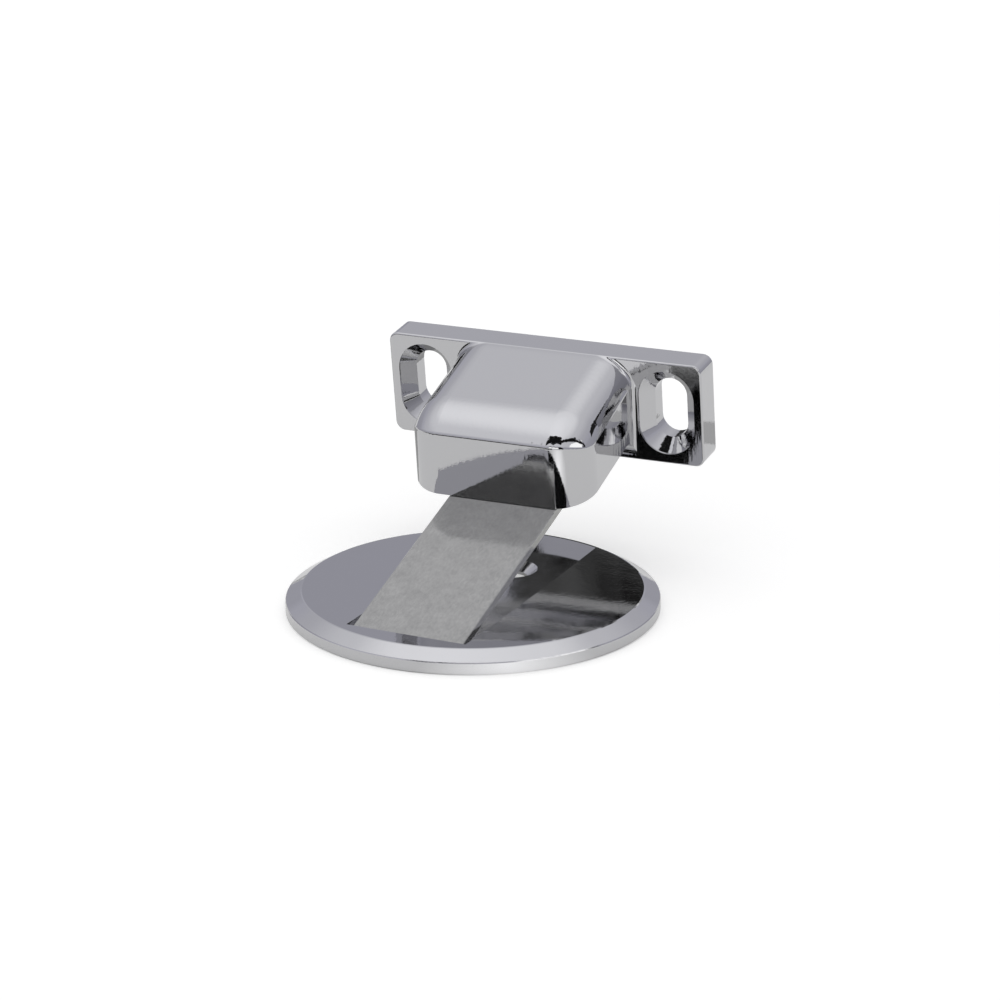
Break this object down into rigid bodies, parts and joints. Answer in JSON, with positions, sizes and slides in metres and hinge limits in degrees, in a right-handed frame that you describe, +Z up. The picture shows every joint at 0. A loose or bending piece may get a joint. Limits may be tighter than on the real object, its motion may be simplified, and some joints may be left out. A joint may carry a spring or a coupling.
{
  "type": "floor door holder",
  "caption": "Low chromed floor disc with a hinged steel flap, and a chromed door-mounted casting whose magnet lifts the flap and holds the door open.",
  "frame": {"origin": "centre of the disc's underside, on the floor", "axes": "+Z up from the floor, +Y from the flap's hinge towards the door, +X along the hinge pin"},
  "size_m": [0.0603, 0.0685, 0.0354],
  "materials": {
    "polished_chrome": "polished",
    "satin_steel": "brushed",
    "bright_steel": "ground",
    "zinc_plated_steel": "zinc plated",
    "black_plastic": "fine moulded grain",
    "nickel_plate": "nickel plated"
  },
  "bodies": {
    "floor_unit": {"floor_disc": "polished_chrome", "hinge_pin": "bright_steel", "pin_retainer": "zinc_plated_steel", "retainer_screws": "zinc_plated_steel"},
    "flap": {"flap": "satin_steel"},
    "door_unit": {"door_housing": "polished_chrome", "magnet_carrier": "black_plastic", "magnet": "nickel_plate", "pole_plates": "zinc_plated_steel", "carrier_screws": "zinc_plated_steel"}
  },
  "joints": [
    {"name": "door_travel", "type": "slide", "parent": "floor_unit", "child": "door_unit", "axis": [0, 1, 0], "range_m": [0, 0.035]},
    {"name": "flap_hinge", "type": "hinge", "parent": "floor_unit", "child": "flap", "pos_m": [0, -0.02193, 0.0014], "axis": [1, 0, 0], "range_deg": [-18.07, 0]}
  ],
  "couplings": [
    {"joint": "flap_hinge", "follows": "door_travel", "rad_per_m": -9}
  ]
}
